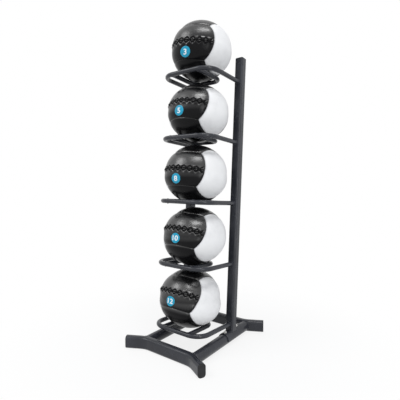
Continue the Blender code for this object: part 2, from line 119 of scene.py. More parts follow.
# Balls
BALL_RADIUS = 0.173
CRADLE_REST = TIER_TUBE_RADIUS + SEAT_GAP  # from a tube's middle to the leather on it
CRADLE_DROP = math.sqrt((BALL_RADIUS + CRADLE_REST) ** 2 - CRADLE_HALF_WIDTH**2)  # below a ball's middle
ROLL_OUT = 0.0445  # how far a ball rolls over its hoop's front run
BALL_TURNS = [  # each front panel's turn to the right, tilt upwards and spin in degrees, top ball first
    (1.8, -0.6, 6.0),
    (-1.7, 12.3, 2.4),
    (-2.2, 8.5, 1.2),
    (-0.5, 20.4, 0.9),
    (-0.5, 24.3, -0.1),
]
BALL_STRETCHES = [  # how far each front panel is pulled to the left and to the right, in degrees
    (14.0, 4.5), (6.0, 1.8), (0.0, 0.0), (0.0, 0.0), (0.0, 0.0),
]
BALL_CROWNS = [0.85, 0.86, 0.92, 0.91, 0.88]  # each settled top half's height over the radius, top ball first
BALL_WIDENING = [0.967, 0.996, 1.029, 1.027, 1.005]  # width over that of a round ball
BALL_FULLNESS = [0.050, 0.048, 0.060, 0.045, 0.085]  # extra width lower down, where the filling has sunk
BALL_SAG = 1.015  # depth of every lower half over the radius
BALL_SLUMPS = [0.0105, 0.0020, 0.0010, 0.0088, -0.0110]  # how far each ball hangs over to the right
SLUMP_DEPTH = 0.13  # below a ball's middle, from where it hangs over
DENT_SOFTNESS = 0.0022
BALL_NUMBERS = ["3", "5", "8", "10", "12"]
PANELS = {  # the ways that each panel faces, bulges into its neighbours, and runs between straight seams
    "front": ((0, -1, 0), (1, 0, 0), (0, 0, 1)),
    "back": ((0, 1, 0), (1, 0, 0), (0, 0, 1)),
    "top": ((0, 0, 1), (0, 1, 0), (1, 0, 0)),
    "bottom": ((0, 0, -1), (0, 1, 0), (1, 0, 0)),
    "left": ((-1, 0, 0), (0, 0, 1), (0, 1, 0)),
    "right": ((1, 0, 0), (0, 0, 1), (0, 1, 0)),
}
SEAM_PLANE = 1 / math.sqrt(3)  # from the ball's middle to every seam, over the radius: six equal panels
LUMP_HEIGHT = 0.000385
LUMP_SINK = 0.00099  # keeps the lumps inside the round ball
LUMP_SEED = 40
LUMP_WAVES = 16
LUMP_PACES = (2.0, 8.0)  # least and most radians of a wave's phase to a ball's radius
LUMP_SWELL = 2.5  # a wave's height times its pace
SEAM_DEPTH = 0.0024
SEAM_FALL = 0.0040  # how fast the leather sinks towards a seam
PILLOW_DEPTH = 0.0032
PILLOW_FALL = 0.0200  # how fast a stuffed panel flattens away from its seams
FLANGE_DEPTH = 0.0045
BACK_SHARE = 0.80  # depth of the middle of a panel's hidden back, over that of its face
PANEL_SPACING = 0.0065  # between a panel's points
LACED_SPACING = 0.0022  # the same along the laced slit
SLIT_SPACING = 0.0013  # and across it
SLIT_REACH = 0.024  # of the close points to each side of the front panel's middle
SEAM_POINTS = [0.0, 0.0007, 0.0015, 0.0025, 0.0040, 0.0060, 0.0090, 0.0130]  # distances from a seam
PUCKER_HEIGHT = 0.0006
PUCKER_LENGTH = 0.013
PUCKER_REACH = 0.010
LACE_RADIUS = 0.0022
LACE_LEGS = 9
LACE_HALF_ANGLE = math.radians(50.4)
LACE_HALF_HEIGHT = 0.0155
LACE_STEPS = 18  # points to a leg
LACE_SIDES = 10
LACE_STRETCHES = (1.15, 0.8)  # width and height of the flattened lace over those of a round one
LACE_STRANDS = 3
EYELET_DEPTH = 0.0032
LACE_RISE = 0.0042  # of a leg's middle above its eyelets
CROSSING_LIFTS = (0.0, 0.0024)  # of each lace, where one passes over the other
CROSSING_REACH = 0.12  # of that lift, over the length of a leg
SLIT_HEIGHT = -0.008  # the laced slit's middle above the panel's
SLIT_DEPTH, SLIT_HALF_WIDTH = 0.0040, 0.0017
LIP_HEIGHT, LIP_PLACE, LIP_HALF_WIDTH = 0.0012, 0.0055, 0.0035
PRESSED_DEPTH, PRESSED_HALF_WIDTH = 0.0028, 0.0030  # of the groove under a lace
BULGE_HEIGHT, BULGE_FALL = 0.0018, 0.0050  # of the leather between the laces
BULGE_REACH, BULGE_FADE = LACE_HALF_HEIGHT + 0.003, 0.0022  # above and below the slit
LACED_REACH, LACED_FADE = LACE_HALF_ANGLE * BALL_RADIUS + 0.004, 0.003  # to each side of its middle
LABEL_RADIUS = 0.028
LABEL_TURNS = [5.1, 2.5, 2.5, 1.9, 1.0]  # degrees to the right of each front panel's middle, top ball first
LABEL_TILT = math.radians(-22.3)
LABEL_PROFILE = [  # (distance from the middle over the radius, lift). The rim is sunk in the leather
    (0.0001, 0.00045), (0.2, 0.00045), (0.4, 0.00045), (0.6, 0.00045), (0.78, 0.00045), (0.92, 0.00045),
    (0.985, 0.0004), (1.0, 0.00005), (1.0, -0.0015),
]
DIGIT_HEIGHT = 0.028
DIGIT_SHARE = 0.72  # a digit's height over the size of its font
DIGIT_BOLDNESS = 0.0009
DIGIT_WIDENING = 1.12
DIGIT_DEPTH = 0.0006
DIGIT_LIFT = 0.00035
DIGIT_LONGEST_EDGE = 0.004

# Weld beads
BEAD_PITCH = 0.0030
BEAD_STEP = 0.0010
BEAD_SIDES = 8
RIPPLE_LOW, RIPPLE_RISE = 0.86, 0.22  # a bead's size in a trough, and its rise to a crest, over its radius

# Fineness
TUBE_SIDES = 28
BOLT_SIDES = 96
RIM_SIDES = 64  # of washers and labels
BAR_WELD_POINTS, TIER_WELD_POINTS = 72, 48
BAR_RINGS, POST_RINGS = 9, 12
BEND_STEP = math.radians(5)
CORNER_STEPS = 7
SHARP_ANGLE = math.radians(38)

# Studio
ROOM_LIGHT = 0.58
ROOM_COLOUR = (0.93, 0.96, 1.0, 1.0)
WHITE = (1.0, 1.0, 1.0, 1.0)
FLOOR_HALF_SIDE = 8.0
FLOOR_HEIGHT = -0.0004
FLOOR_SOCKETS = {"Base Color": (0.86, 0.86, 0.86, 1.0), "Roughness": 0.9, "Specular IOR Level": 0.1}
FLOOR_FADE = (0.35, 1.3)  # distances from the rack's middle between which the floor fades to white
FLOOR_LEAST_WHITE = 0.82
SOFTBOXES = {  # place, target, width and height, watts
    "overhead_softbox": ((2.15, -1.7, 6.7), (0.0, 0.0, 0.95), (3.4, 1.5), 158.0),
    "side_softbox": ((4.3, -2.3, 1.5), (0.0, 0.0, 0.9), (1.0, 2.6), 52.0),
    "front_softbox": ((-2.6, -3.4, 4.7), (0.0, 0.0, 1.1), (2.6, 2.0), 90.0),
}


# Finishes


def add_node(tree, kind, inputs=None, **settings):
    """A new node. Its inputs are plain values, or the sockets that they are linked from."""
    made = tree.nodes.new(kind)
    for name, value in settings.items():
        setattr(made, name, value)
    for socket, value in (inputs or {}).items():
        if isinstance(value, bpy.types.NodeSocket):
            tree.links.new(value, made.inputs[socket])
        else:
            made.inputs[socket].default_value = value
    return made


class Finish:
    """A procedural material on the Principled shader, and the record's slot that it belongs to, if any."""

    def __init__(self, name, slot, sockets):
        self.slot = slot
        self.material = bpy.data.materials.new(name)
        self.material.use_nodes = True
        self.tree = self.material.node_tree
        self.shader = self.tree.nodes["Principled BSDF"]
        for socket, value in sockets.items():
            self.shader.inputs[socket].default_value = value
        self.place = self.node("ShaderNodeTexCoord").outputs["Object"]

    def node(self, kind, inputs=None, **settings):
        return add_node(self.tree, kind, inputs, **settings)

    def noise(self, scale, detail=3.0, roughness=0.55, stretch=None):
        """Soft noise from 0 to 1. The scale is in features per metre."""
        place = self.place
        if stretch:
            place = self.node("ShaderNodeMapping", {"Vector": place, "Scale": stretch}).outputs[0]
        inputs = {"Vector": place, "Scale": scale, "Detail": detail, "Roughness": roughness}
        return self.node("ShaderNodeTexNoise", inputs).outputs["Fac"]

    def cells(self, scale):
        """Distance to the nearest cell's point. The scale is in cells per metre."""
        return self.node("ShaderNodeTexVoronoi", {"Vector": self.place, "Scale": scale}).outputs[0]

    def stretch(self, value, low, high, to_low=0.0, to_high=1.0):
        inputs = {"Value": value, "From Min": low, "From Max": high, "To Min": to_low, "To Max": to_high}
        return self.node("ShaderNodeMapRange", inputs).outputs[0]

    def maths(self, operation, first, second=0.0):
        return self.node("ShaderNodeMath", {0: first, 1: second}, operation=operation).outputs[0]

    def colours(self, value, stops):
        """A colour ramp. Stops are (position, (red, green, blue))."""
        made = self.node("ShaderNodeValToRGB", {"Fac": value})
        ramp = made.color_ramp
        while len(ramp.elements) < len(stops):
            ramp.elements.new(0.5)
        for element, (position, colour) in zip(ramp.elements, stops):
            element.position = position
            element.color = (*colour, 1.0)
        return made.outputs["Color"]

    def multiply(self, first, second):
        inputs = {"Factor": 1.0, 6: first, 7: second}  # 6 and 7 are the colours A and B
        return self.node("ShaderNodeMix", inputs, data_type="RGBA", blend_type="MULTIPLY").outputs[2]

    def attribute(self, name):
        return self.node("ShaderNodeAttribute", attribute_name=name).outputs["Fac"]

    def bump(self, *layers):
        """Bump layers of (height, distance), stacked on the shader's normal."""
        normal = None
        for height, distance in layers:
            inputs = {"Height": height, "Distance": distance, "Strength": 1.0}
            if normal:
                inputs["Normal"] = normal
            normal = self.node("ShaderNodeBump", inputs).outputs["Normal"]
        self.set("Normal", normal)

    def set(self, socket, value):
        self.tree.links.new(value, self.shader.inputs[socket])


def powder_coat():
    """Charcoal satin coat with fine orange peel, a slightly uneven sheen and lighter rubbed edges."""
    finish = Finish("charcoal_powder_coat", "powder_coat", {"Metallic": 0.0, "Specular IOR Level": 0.34})
    cloud = finish.noise(9.0, 4.0)
    peel = finish.noise(620.0, 2.0, 0.5)
    speck = finish.noise(1900.0, 1.0)
    edge = finish.node("ShaderNodeNewGeometry").outputs["Pointiness"]
    rubbed = finish.stretch(edge, 0.53, 0.62, 0.0, 0.45)
    tone = finish.maths("ADD", finish.stretch(cloud, 0.3, 0.7, 0.0, 0.55), rubbed)
    finish.set("Base Color", finish.colours(tone, [
        (0.0, (0.018, 0.0195, 0.025)), (0.6, (0.031, 0.033, 0.041)), (1.0, (0.058, 0.061, 0.071)),
    ]))
    finish.set("Roughness", finish.stretch(cloud, 0.25, 0.75, 0.21, 0.31))
    finish.bump((peel, 0.00010), (speck, 0.00003))
    return finish


def cap_plastic():
    """Black moulded plastic with a fine spark-eroded texture."""
    finish = Finish("black_cap_plastic", "cap_plastic", {"Metallic": 0.0, "Specular IOR Level": 0.3})
    cloud = finish.noise(30.0, 3.0)
    spark = finish.noise(1500.0, 3.0, 0.7)
    stops = [(0.3, (0.009, 0.009, 0.010)), (0.75, (0.018, 0.018, 0.020))]
    finish.set("Base Color", finish.colours(cloud, stops))
    finish.set("Roughness", finish.stretch(spark, 0.3, 0.7, 0.42, 0.62))
    finish.bump((spark, 0.00012))
    return finish


def zinc_steel():
    """Bright zinc plating with faint spangle, turning lines and a slightly yellow cast in places."""
    finish = Finish("zinc_plated_steel", "zinc_steel", {"Metallic": 1.0})
    cloud = finish.noise(160.0, 4.0)
    spangle = finish.cells(900.0)
    lines = finish.noise(700.0, 2.0, 0.5, stretch=(1.0, 1.0, 7.0))
    finish.set("Base Color", finish.colours(cloud, [
        (0.25, (0.52, 0.52, 0.50)), (0.55, (0.66, 0.66, 0.65)), (0.8, (0.70, 0.67, 0.58)),
    ]))
    finish.set("Roughness", finish.stretch(spangle, 0.0, 0.8, 0.24, 0.40))
    finish.bump((lines, 0.00006), (spangle, 0.00003))
    return finish


def leather_grain(finish):
    """Bump of pebbled leather: small cells, pores and broad soft creases."""
    pebbles = finish.cells(430.0)
    pores = finish.noise(1100.0, 2.0, 0.6)
    creases = finish.noise(48.0, 5.0, 0.62)
    finish.bump((creases, 0.0008), (pebbles, 0.00010), (pores, 0.00004))
    return pebbles


def black_leather():
    """Black synthetic leather with a broad grey sheen. Its specular level is painted by height: a painted
    sheen on the upper half, and painted shade, a duller reflection, on the lower half.
    """
    finish = Finish("black_synthetic_leather", "black_leather", {"Metallic": 0.0})
    patches = finish.noise(14.0, 5.0, 0.6)
    # Painted sheen and painted shade: the specular level follows how far each face points up, strong on the
    # upper half and weak on the lower half.
    normal = finish.node("ShaderNodeNewGeometry").outputs["Normal"]
    painted_sheen_up = finish.node("ShaderNodeSeparateXYZ", {0: normal}).outputs["Z"]
    finish.set("Specular IOR Level", finish.stretch(painted_sheen_up, -0.05, 0.35, 0.14, 0.85))
    pebbles = leather_grain(finish)
    grain = finish.stretch(pebbles, 0.0, 0.7, 0.3, 0.0)
    tone = finish.maths("ADD", finish.stretch(patches, 0.3, 0.7, 0.0, 0.7), grain)
    finish.set("Base Color", finish.colours(tone, [
        (0.0, (0.0020, 0.0020, 0.0025)), (0.6, (0.0040, 0.0040, 0.0047)), (1.0, (0.0085, 0.0085, 0.0095)),
    ]))
    finish.set("Roughness", finish.stretch(patches, 0.25, 0.75, 0.24, 0.34))
    return finish


def white_leather():
    """White synthetic leather, a little grey in the seams and in faint handling marks."""
    finish = Finish("white_synthetic_leather", "white_leather", {"Specular IOR Level": 0.4})
    patches = finish.noise(11.0, 5.0, 0.65)
    leather_grain(finish)
    shade = finish.colours(patches, [
        (0.25, (0.70, 0.70, 0.705)), (0.5, (0.775, 0.775, 0.78)), (0.8, (0.80, 0.80, 0.80)),
    ])
    seam = finish.colours(finish.stretch(finish.attribute("edge"), 0.0, 0.010), [
        (0.0, (0.42, 0.42, 0.43)), (0.35, (0.88, 0.88, 0.89)), (1.0, (1.0, 1.0, 1.0)),
    ])
    finish.set("Base Color", finish.multiply(shade, seam))
    finish.set("Roughness", finish.stretch(patches, 0.25, 0.75, 0.44, 0.58))
    return finish


def lace_cord():
    """Flat black lace, woven in a fine herringbone along its length."""
    finish = Finish("black_lace", "lace_cord", {"Specular IOR Level": 0.12})
    along, around = finish.attribute("along"), finish.attribute("around")
    phase = finish.maths("MULTIPLY", along, 4200.0)
    strands = [finish.maths("SINE", finish.maths(way, phase, around)) for way in ("ADD", "SUBTRACT")]
    weave = finish.maths("MAXIMUM", *strands)
    fuzz = finish.noise(2500.0, 2.0)
    finish.set("Base Color", finish.colours(finish.stretch(weave, -1.0, 1.0), [
        (0.0, (0.002, 0.002, 0.002)), (0.7, (0.006, 0.006, 0.007)), (1.0, (0.011, 0.011, 0.012)),
    ]))
    finish.set("Roughness", finish.stretch(fuzz, 0.3, 0.7, 0.72, 0.9))
    finish.bump((weave, 0.00025), (fuzz, 0.0001))
    return finish


def label_print(name, tones):
    """Ink or film on leather: the grain shows through, and the print is a little uneven."""
    finish = Finish(name, "black_leather", {"Specular IOR Level": 0.4})
    patches = finish.noise(90.0, 4.0, 0.6)
    wear = finish.stretch(finish.noise(420.0, 3.0, 0.7), 0.28, 0.5)
    tone = finish.maths("MULTIPLY", finish.stretch(patches, 0.2, 0.8, 0.55, 1.0), wear)
    low, high = tones
    finish.set("Base Color", finish.colours(tone, [(0.0, low), (0.75, high)]))
    finish.set("Roughness", finish.stretch(patches, 0.25, 0.75, 0.34, 0.46))
    leather_grain(finish)
    return finish


# Mesh building


def grid_faces(rows, columns, wrapped=False):
    """Quads between the points of a grid that is stored row by row."""
    across = columns if wrapped else columns - 1
    row, column = np.meshgrid(np.arange(rows - 1), np.arange(across), indexing="ij")
    here, beside = row * columns + column, row * columns + (column + 1) % columns
    return np.stack([corner.ravel() for corner in (here, beside, beside + columns, here + columns)], axis=1)


def linked(name, data):
    """A new object in the scene."""
    made = bpy.data.objects.new(name, data)
    bpy.context.scene.collection.objects.link(made)
    return made


def joined(bodies):
    """Several (points, faces) as one. Faces are lists of corner indices."""
    points, faces, start = [], [], 0
    for body_points, body_faces in bodies:
        points.append(np.asarray(body_points, float))
        faces += [[corner + start for corner in face] for face in body_faces]
        start += len(body_points)
    return np.concatenate(points), faces


def placed(points, matrix):
    matrix = np.array(matrix)
    return np.asarray(points, float) @ matrix[:3, :3].T + matrix[:3, 3]


def moved(body_mesh, matrix):
    points, faces = body_mesh
    return placed(points, matrix), faces


def skin(rings, closed=False):
    """Points and faces over rings with as many points each, with flat ends or, closed, joined end to end."""
    rings = np.asarray(rings, float)
    count, size = rings.shape[:2]
    if closed:
        rings = np.concatenate([rings, rings[:1]])
        faces = grid_faces(count + 1, size, wrapped=True) % (count * size)
        return rings[:-1].reshape(-1, 3), faces.tolist()
    faces = grid_faces(count, size, wrapped=True).tolist()
    faces.append(list(range(size)))
    faces.append(list(range((count - 1) * size, count * size)))
    return rings.reshape(-1, 3), faces


def add_piece(name, body_mesh, finish, body="rack", stands_for=(), attributes=None):
    """A piece of the object with its finish, on its body, in place of the plain solids that it stands for."""
    points, faces = body_mesh
    mesh = bpy.data.meshes.new(name)
    mesh.from_pydata(np.asarray(points).tolist(), [], faces)
    for key, values in (attributes or {}).items():
        mesh.attributes.new(key, "FLOAT", "POINT").data.foreach_set("value", np.asarray(values, np.float32))
    work = bmesh.new()
    work.from_mesh(mesh)
    bmesh.ops.recalc_face_normals(work, faces=work.faces)
    work.to_mesh(mesh)
    work.free()
    mesh.materials.append(finish.material)
    mesh.shade_smooth()
    mesh.set_sharp_from_angle(angle=SHARP_ANGLE)
    piece = linked(name, mesh)
    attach(piece, body)
    if stands_for:
        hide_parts(*stands_for)
    return piece


def remake(node, ending, body_mesh, finish):
    """The visible piece of one of the rack's plain solids."""
    return add_piece(f"{node}_{ending}", body_mesh, finish, stands_for=[node])


def even_shading(piece):
    """Keeps large flat faces flat next to their rounded edges."""
    weighted = piece.modifiers.new("even_shading", "WEIGHTED_NORMAL")
    weighted.keep_sharp = True


def rounded_rectangle(width, height, radius):
    """Outline points of a rounded rectangle about the origin, anticlockwise."""
    points = []
    for quarter in range(4):
        corner = np.array((width / 2 - radius, height / 2 - radius))
        corner *= (1 if quarter in (0, 3) else -1, 1 if quarter in (0, 1) else -1)
        for step in range(CORNER_STEPS + 1):
            angle = math.pi / 2 * (quarter + step / CORNER_STEPS)
            points.append(corner + radius * np.array((math.cos(angle), math.sin(angle))))
    return np.array(points)


def unit(vectors):
    return vectors / np.linalg.norm(vectors, axis=1)[:, None]


def lengths_along(points):
    """How far each point is along the line through them all."""
    return np.concatenate([[0.0], np.cumsum(np.linalg.norm(np.diff(points, axis=0), axis=1))])


def from_line(points, start, end):
    """Vectors to points from the nearest place on a straight line."""
    run = end - start
    share = np.clip((points - start) @ run / (run @ run), 0.0, 1.0)
    return points - (start + share[:, None] * run)


def angles_round(count):
    return np.arange(count) * 2 * math.pi / count


def circle(radius, sides=TUBE_SIDES):
    angles = angles_round(sides)
    return np.stack([radius * np.cos(angles), radius * np.sin(angles)], axis=1)


def arc(centre, radius, start, end):
    count = math.ceil(abs(end - start) / BEND_STEP) + 1
    angles = np.linspace(start, end, count)
    return np.stack([centre[0] + radius * np.cos(angles), centre[1] + radius * np.sin(angles)], axis=1)


def swept(path, section):
    """Rings of a section of (across, up) points, carried along a path in the XY plane."""
    path = np.asarray(path, float)
    steps = unit(np.diff(path, axis=0))
    along = unit(np.concatenate([steps[:1], steps[:-1] + steps[1:], steps[-1:]]))
    rings = np.zeros((len(path), len(section), 3))
    rings[:, :, 0] = path[:, None, 0] + along[:, None, 1] * section[None, :, 0]
    rings[:, :, 1] = path[:, None, 1] - along[:, None, 0] * section[None, :, 0]
    rings[:, :, 2] = section[None, :, 1]
    return rings


def weld_bead(line, outward, radius):
    """A rippled weld bead along a closed line. outward points away from the metal."""
    line, outward = (np.array([*places, places[0]], float) for places in (line, outward))
    lengths = lengths_along(line)
    count = int(lengths[-1] / BEAD_STEP)
    stations = np.arange(count) * lengths[-1] / count
    centre, up = (
        np.stack([np.interp(stations, lengths, values) for values in places.T], axis=1)
        for places in (line, outward)
    )
    along = unit(np.roll(centre, -1, axis=0) - np.roll(centre, 1, axis=0))
    side = unit(np.cross(along, up))
    up = np.cross(side, along)
    ripples = round(lengths[-1] / BEAD_PITCH)
    phase = (stations / lengths[-1] * ripples) % 1.0
    sizes = radius * (RIPPLE_LOW + RIPPLE_RISE * np.sqrt(1.0 - phase))
    angles = angles_round(BEAD_SIDES)
    rings = centre[:, None] + sizes[:, None, None] * (
        np.cos(angles)[None, :, None] * side[:, None] + np.sin(angles)[None, :, None] * up[:, None]
    )
    return skin(rings, closed=True)


# Base


def foot_path(outward):
    """Middle line of a foot. outward is -1 for the front foot and 1 for the rear one."""
    bend = arc((FOOT_STRAIGHT / 2, SWEEP_RADIUS), SWEEP_RADIUS, -math.pi / 2, -math.pi / 2 + SWEEP_ANGLE)
    tip = bend[-1] + SWEPT_END * np.array((math.cos(SWEEP_ANGLE), math.sin(SWEEP_ANGLE)))
    right = np.concatenate([bend, [tip]])
    path = np.concatenate([right[::-1] * (-1, 1), right])
    return path * (1, outward) + (0.0, outward * FOOT_SPACING / 2)


def capped_rings(width, height, radius, profile):
    """Rings of a moulded cap: a rounded rectangle drawn in by each inset at each height, facing +Z."""
    rings = []
    for inset, level in profile:
        outline = rounded_rectangle(width - 2 * inset, height - 2 * inset, max(radius - inset, 0.001))
        rings.append(np.column_stack([outline, np.full(len(outline), level)]))
    return rings


FOOT_CAP_PROFILE = [
    (0.0008, 0.0), (0.0, 0.0006), (0.0, 0.0024), (0.0005, 0.0034), (0.0015, 0.0040), (0.0045, 0.0040),
    (0.0055, 0.0034), (0.0070, 0.0031), (0.0100, 0.0031),
]
POST_CAP_PROFILE = [
    (0.0006, 0.0), (0.0, 0.0005), (0.0001, 0.0014), (0.0006, 0.0027), (0.0015, 0.0039), (0.0030, 0.0049),
    (0.0050, 0.0055), (0.0080, 0.0058), (0.0120, 0.0059), (0.0180, 0.0059),
]


def add_foot(name, outward, coat, plastic):
    """A foot's tube and its two end caps. Returns the tube's points and faces for the welds."""
    path = foot_path(outward)
    rings = swept(path, rounded_rectangle(FOOT_DEPTH, FOOT_HEIGHT, FOOT_CORNER_RADIUS))
    rings[:, :, 2] += FOOT_HEIGHT / 2
    tube = skin(rings)
    even_shading(remake(name, "tube", tube, coat))
    for side, sign in SIDES.items():
        tip = path[0 if sign < 0 else -1]
        out = Vector((sign * math.cos(SWEEP_ANGLE), outward * math.sin(SWEEP_ANGLE), 0.0))
        up = Vector((0.0, 0.0, 1.0))
        turn = Matrix((up.cross(out), up, out)).transposed().to_4x4()
        place = Matrix.Translation(Vector((*tip, FOOT_HEIGHT / 2)) + out * SEAT_GAP) @ turn
        cap = skin(capped_rings(FOOT_DEPTH, FOOT_HEIGHT, FOOT_CORNER_RADIUS, FOOT_CAP_PROFILE))
        remake(f"{name}_cap_{side}", "moulding", moved(cap, place), plastic)
    return tube


def bar_ring(outline, x, y):
    """An (across, up) outline about a side bar's middle line, at a place along it."""
    return np.column_stack([x + outline[:, 0], np.full(len(outline), y), BAR_HEIGHT + outline[:, 1]])


def add_side_bar(side, sign, feet, coat):
    """A side bar's round tube. Returns its weld beads on both feet."""
    x = sign * POST_SPACING / 2
    outline = circle(BAR_RADIUS, 2 * TUBE_SIDES)
    rings = [bar_ring(outline, x, y) for y in np.linspace(-FOOT_SPACING / 2, FOOT_SPACING / 2, BAR_RINGS)]
    remake(f"side_bar_{side}", "tube", skin(rings), coat)
    beads = []
    for outward, (points, faces) in feet.items():
        tree = BVHTree.FromPolygons([Vector(point) for point in points], faces)
        line, away = [], []
        for across, up in circle(BAR_RADIUS, BAR_WELD_POINTS):
            start = Vector((x + across, 0.0, BAR_HEIGHT + up))
            line.append(tree.ray_cast(start, Vector((0.0, outward, 0.0)))[0])
            away.append((across, -outward * BAR_RADIUS, up))
        beads.append(weld_bead(line, away, BAR_BEAD_RADIUS))
    return beads


# Uprights


def add_saddle(side, sign, coat):
    """A plate bent over the side bar, with rounded edges."""
    start = math.pi / 2 - SADDLE_WRAP / 2
    end = start + SADDLE_WRAP
    outline = np.concatenate([
        arc((0.0, 0.0), SADDLE_OUTER_RADIUS, start, end),
        arc((0.0, 0.0), SADDLE_INNER_RADIUS, end, start),
    ])
    x = sign * POST_SPACING / 2
    rings = [bar_ring(outline, x, y) for y in (POST_Y - SADDLE_FRONT, POST_Y + SADDLE_REAR)]
    saddle = remake(f"post_saddle_{side}", "plate", skin(rings), coat)
    bevel = saddle.modifiers.new("rounded_edges", "BEVEL")
    bevel.width = SADDLE_EDGE_RADIUS
    bevel.segments = 3
    bevel.limit_method = "ANGLE"
    bevel.angle_limit = math.radians(50)
    even_shading(saddle)


def bolt_head():
    """A chamfered hexagon head with a shallow dish in its top, standing on z = 0."""
    angles = angles_round(BOLT_SIDES)
    flat = BOLT_HEAD_WIDTH / 2 * math.cos(math.pi / 6)
    side = flat / np.cos((angles + math.pi / 6) % (math.pi / 3) - math.pi / 6)
    top = flat * BOLT_TOP_SHARE
    rim, floor = (flat * share for share in BOLT_DISH_SHARES)
    levels = [
        (side - BOLT_HEAD_EDGE, 0.0),
        (side, BOLT_HEAD_EDGE),
        (side, BOLT_HEAD_HEIGHT - (side - top) * math.tan(BOLT_CHAMFER)),
        (top, BOLT_HEAD_HEIGHT),
        (rim, BOLT_HEAD_HEIGHT),
        (floor, BOLT_HEAD_HEIGHT - BOLT_DISH_DEPTH),
    ]
    rings = [(r * np.cos(angles), r * np.sin(angles), np.broadcast_to(z, angles.shape)) for r, z in levels]
    return skin([np.column_stack(ring) for ring in rings])


def washer():
    """A flat washer with slightly rounded rims, standing on z = 0."""
    inner, outer = WASHER_BORE_RADIUS, WASHER_RADIUS
    edge, high = WASHER_EDGE, WASHER_THICKNESS
    corners = [
        (inner, edge), (inner + edge, 0.0), (outer - edge, 0.0), (outer, edge),
        (outer, high - edge), (outer - edge, high), (inner + edge, high), (inner, high - edge),
    ]
    turns = angles_round(RIM_SIDES)
    rings = [[(r * math.cos(turn), r * math.sin(turn), z) for r, z in corners] for turn in turns]
    return skin(rings, closed=True)


def add_bolts(side, sign, zinc):
    for place, y in {"front": POST_Y - BOLT_OFFSET, "rear": POST_Y + BOLT_OFFSET}.items():
        seat = Vector((sign * POST_SPACING / 2, y, BAR_HEIGHT + SADDLE_OUTER_RADIUS + SEAT_GAP))
        remake(f"washer_{side}_{place}", "ring", moved(washer(), Matrix.Translation(seat)), zinc)
        seat.z += WASHER_THICKNESS + SEAT_GAP
        remake(f"bolt_{side}_{place}", "head", moved(bolt_head(), Matrix.Translation(seat)), zinc)


def post_outline():
    """Outline of a post with its flat sides divided, so that its foot can follow the saddle's curve."""
    corners = rounded_rectangle(POST_SIDE, POST_SIDE, POST_CORNER_RADIUS)
    points = []
    for here, after in zip(corners, np.roll(corners, -1, axis=0)):
        pieces = max(1, round(np.linalg.norm(after - here) / POST_OUTLINE_STEP))
        points += [here + (after - here) * step / pieces for step in range(pieces)]
    return np.array(points)


def add_post(side, sign, coat, plastic):
    """A post's tube from its saddle to its top, and its cap. Returns the weld bead on the saddle."""
    x = sign * POST_SPACING / 2
    outline = post_outline()
    crown = BAR_HEIGHT + np.sqrt(SADDLE_OUTER_RADIUS**2 - outline[:, 0] ** 2)
    foot = (crown + outline[:, 1] * math.sin(LEAN)) / math.cos(LEAN)
    rings = [
        np.column_stack([x + outline[:, 0], outline[:, 1], np.broadcast_to(level, len(outline))])
        for level in (foot, *np.linspace(POST_EVEN_FROM, POST_TOP, POST_RINGS))
    ]
    even_shading(remake(f"post_{side}", "tube", moved(skin(rings), UPRIGHTS), coat))
    place = UPRIGHTS @ Matrix.Translation((x, 0.0, POST_TOP + SEAT_GAP))
    cap = skin(capped_rings(POST_SIDE, POST_SIDE, POST_CORNER_RADIUS, POST_CAP_PROFILE))
    remake(f"post_cap_{side}", "moulding", moved(cap, place), plastic)
    away = np.column_stack([outline / POST_SIDE, np.full(len(outline), POST_BEAD_RISE)])
    return weld_bead(placed(rings[0], UPRIGHTS), away, POST_BEAD_RADIUS)


# Tiers


def tier_height(tier):
    """Height of a tier's tubes along the posts. Tier 1 is the top one."""
    return LOWEST_TIER + (TIERS - tier) * TIER_PITCH


def u_path(half_width, open_end, closed_end, radius):
    """A U of two arms along Y and a run along X, with round corners. It opens towards open_end."""
    turn = math.copysign(1.0, closed_end - open_end)
    bend = arc((half_width - radius, closed_end - turn * radius), radius, 0.0, turn * math.pi / 2)
    right = np.concatenate([[(half_width, open_end)], bend])
    return np.concatenate([right, right[::-1] * (-1, 1)])


def add_tier(tier, coat):
    """A tier's hoop and cradle, and the weld beads on the posts and between the two."""
    place = UPRIGHTS @ Matrix.Translation((0.0, 0.0, tier_height(tier)))
    paths = {
        "hoop": u_path(POST_SPACING / 2, -POST_SIDE / 2 + HOOP_SINK, -HOOP_REACH, HOOP_BEND_RADIUS),
        "cradle": u_path(CRADLE_HALF_WIDTH, -HOOP_REACH + CRADLE_SHORTFALL, -CRADLE_REAR, CRADLE_BEND_RADIUS),
    }
    for name, path in paths.items():
        tube = skin(swept(path, circle(TIER_TUBE_RADIUS)))
        remake(f"tier_{tier}_{name}", "tube", moved(tube, place), coat)
    ring = circle(TIER_TUBE_RADIUS, TIER_WELD_POINTS)
    across, up = ring.T
    joints = [  # hoop on post, cradle on hoop: place across, places along Y, way off the metal
        (POST_SPACING / 2, np.full(len(ring), -POST_SIDE / 2), -TIER_TUBE_RADIUS),
        (CRADLE_HALF_WIDTH, -HOOP_REACH + np.abs(across), TIER_TUBE_RADIUS),
    ]
    beads = []
    for sign in SIDES.values():
        for x, y, off in joints:
            line = np.column_stack([sign * x + across, y, up])
            away = np.column_stack([across, np.full(len(ring), off), up])
            beads.append(weld_bead(line, away, TIER_BEAD_RADIUS))
    add_piece(f"tier_{tier}_welds", moved(joined(beads), place), coat)


# Balls


def ball_seat(tier):
    """Middle of a ball on its cradle, in the uprights' frame."""
    return Vector((0.0, -CRADLE_REAR - CRADLE_HALF_WIDTH, tier_height(tier) + CRADLE_DROP))


def ball_turn(tier):
    """How a ball lies on its cradle: its front panel turned to the right, tilted upwards and spun."""
    right, upwards, spin = (math.radians(angle) for angle in BALL_TURNS[tier - 1])
    return Matrix.Rotation(right, 4, "Z") @ Matrix.Rotation(-upwards, 4, "X") @ Matrix.Rotation(spin, 4, "Y")


